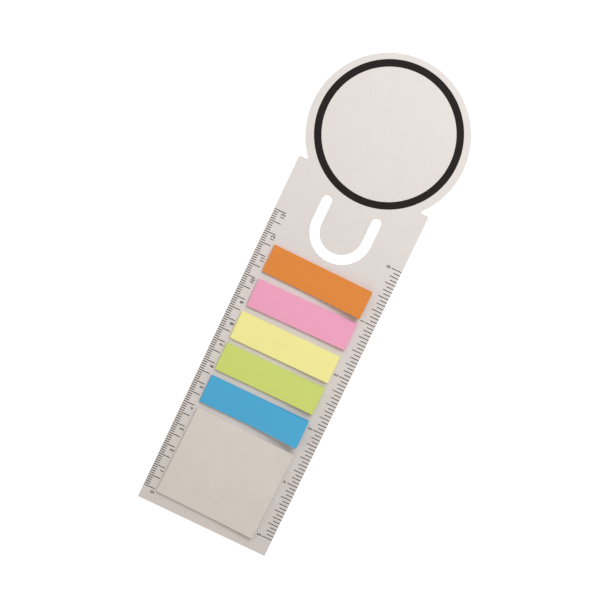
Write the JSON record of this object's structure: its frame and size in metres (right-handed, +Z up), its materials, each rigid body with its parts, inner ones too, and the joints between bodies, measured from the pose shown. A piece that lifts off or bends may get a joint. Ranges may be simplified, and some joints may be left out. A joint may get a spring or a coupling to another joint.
{
  "type": "bookmark ruler with sticky index tabs",
  "caption": "Card bookmark ruler with a round head, a clip tongue and printed scales, carrying pads of sticky index tabs and a pad of sticky notes.",
  "frame": {"origin": "middle of the card's back face, at the centre of the outline's length and width", "axes": "+X across the card towards the inch scale, +Y along the card towards the round head, +Z up out of the printed front"},
  "size_m": [0.0686, 0.2178, 0.0046],
  "materials": {
    "recycled_card": "matt uncoated recycled card, faintly speckled",
    "black_ink": "matt printed black",
    "blue_paper": "matt blue paper",
    "green_paper": "matt light green paper",
    "yellow_paper": "matt pale yellow paper",
    "pink_paper": "matt pink paper",
    "orange_paper": "matt orange paper",
    "note_paper": "matt uncoated recycled paper, faintly speckled"
  },
  "bodies": {
    "root": {"ruler_card": "recycled_card", "head_ring_print": "black_ink", "tab_pad_blue": "blue_paper", "tab_pad_green": "green_paper", "tab_pad_yellow": "yellow_paper", "tab_pad_pink": "pink_paper", "tab_pad_orange": "orange_paper", "note_pad": "note_paper"}
  },
  "joints": []
}
